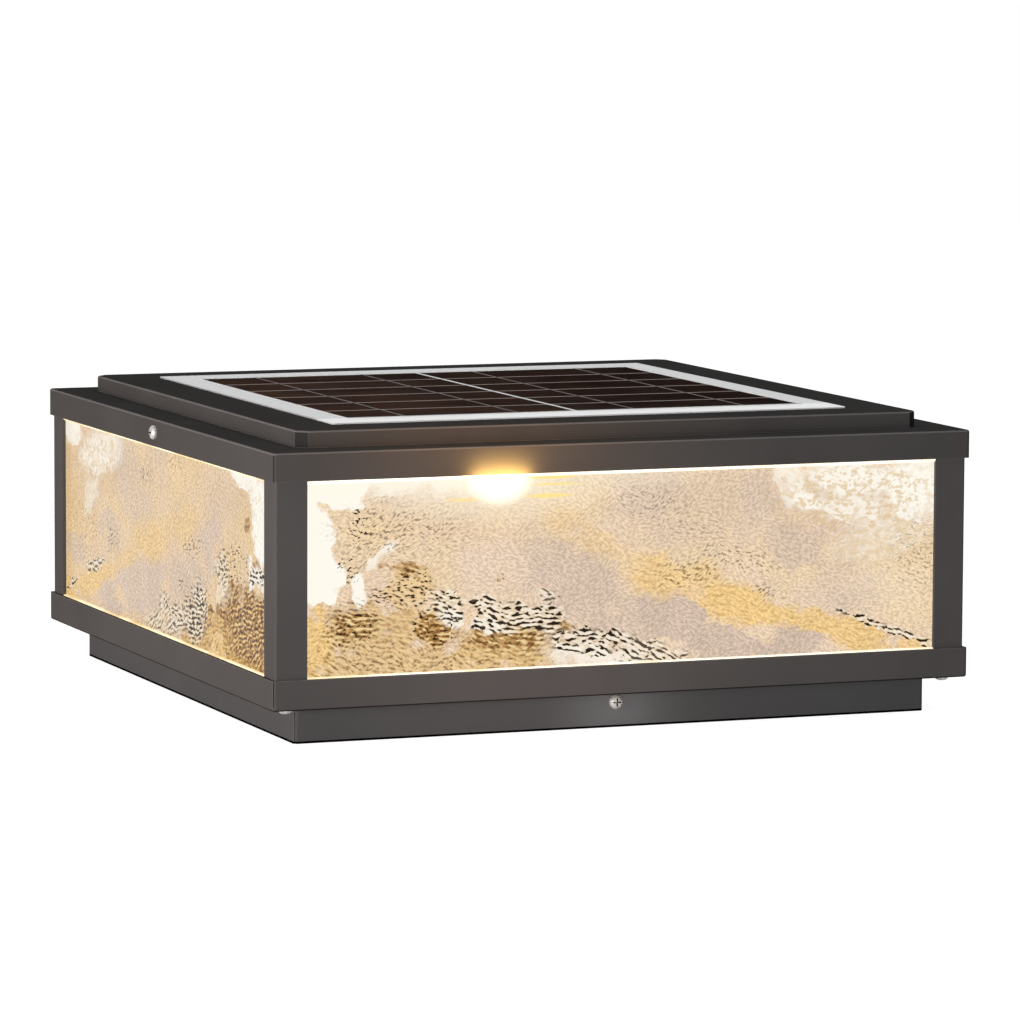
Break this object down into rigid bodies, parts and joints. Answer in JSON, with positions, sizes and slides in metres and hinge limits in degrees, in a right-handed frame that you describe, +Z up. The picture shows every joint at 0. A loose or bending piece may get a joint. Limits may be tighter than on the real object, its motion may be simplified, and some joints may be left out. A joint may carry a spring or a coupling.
{
  "type": "solar pillar light",
  "caption": "Square solar light for the top of a pillar: a lid with a solar panel over ripple-glass panes in corner posts, on a tray and a plinth skirt that drops over a bracket.",
  "frame": {"origin": "on the pillar's top face, under the middle of the lamp", "axes": "+Z up; +X to the right along the front face; front towards -Y"},
  "size_m": [0.304, 0.3, 0.1241],
  "materials": {
    "powder_coat": "matte",
    "ripple_glass": "gloss",
    "stainless": "satin",
    "panel_laminate": "satin",
    "silicon": "satin",
    "tinned_ribbon": "satin",
    "clear_film": "satin",
    "box_plastic": "matte",
    "battery_wrap": "gloss",
    "circuit_board": "satin",
    "component_black": "matte",
    "lead_insulation": "satin",
    "led_board_white": "satin",
    "led_phosphor": "satin",
    "lens_diffuser": "satin",
    "button_plastic": "satin",
    "rubber": "matte",
    "zinc_plate": "satin"
  },
  "bodies": {
    "bracket": {"pillar_bracket": "zinc_plate"},
    "lamp": {"bottom_tray": "powder_coat", "base_skirt": "powder_coat", "skirt_rivets": "stainless", "tray_screws": "stainless", "skirt_screws": "stainless", "skirt_nuts": "stainless", "top_ring": "powder_coat", "ring_screws": "stainless", "lid_gasket": "rubber", "pane_pads": "rubber", "corner_post_front_left": "powder_coat", "corner_post_front_right": "powder_coat", "corner_post_back_right": "powder_coat", "corner_post_back_left": "powder_coat", "glass_pane_front": "ripple_glass", "glass_pane_right": "ripple_glass", "glass_pane_back": "ripple_glass", "glass_pane_left": "ripple_glass"},
    "lid": {"top_cover": "powder_coat", "panel_board": "panel_laminate", "panel_cells": "silicon", "panel_ribbons": "tinned_ribbon", "panel_film": "clear_film", "lid_screws": "stainless", "lid_nuts": "stainless", "box_standoffs": "stainless", "driver_box": "box_plastic", "box_screws": "stainless", "battery_holder": "box_plastic", "battery_contacts": "tinned_ribbon", "battery_cells": "battery_wrap", "control_board": "circuit_board", "board_parts": "component_black", "panel_leads": "lead_insulation", "battery_leads": "lead_insulation", "led_leads": "lead_insulation", "switch_leads": "lead_insulation", "led_board": "led_board_white", "led_chips": "led_phosphor", "led_lens": "lens_diffuser", "led_screws": "stainless", "switch_housing": "box_plastic", "switch_nut": "box_plastic"},
    "button": {"switch_button": "button_plastic"}
  },
  "joints": [
    {"name": "lamp_lift", "type": "slide", "parent": "bracket", "child": "lamp", "axis": [0, 0, 1], "range_m": [0, 0.03]},
    {"name": "lid_lift", "type": "slide", "parent": "lamp", "child": "lid", "axis": [0, 0, 1], "range_m": [0, 0.06]},
    {"name": "switch_press", "type": "slide", "parent": "lid", "child": "button", "axis": [0, 0, 1], "range_m": [0, 0.0018], "stiffness_N_per_m": 400, "springref_m": -0.002}
  ]
}
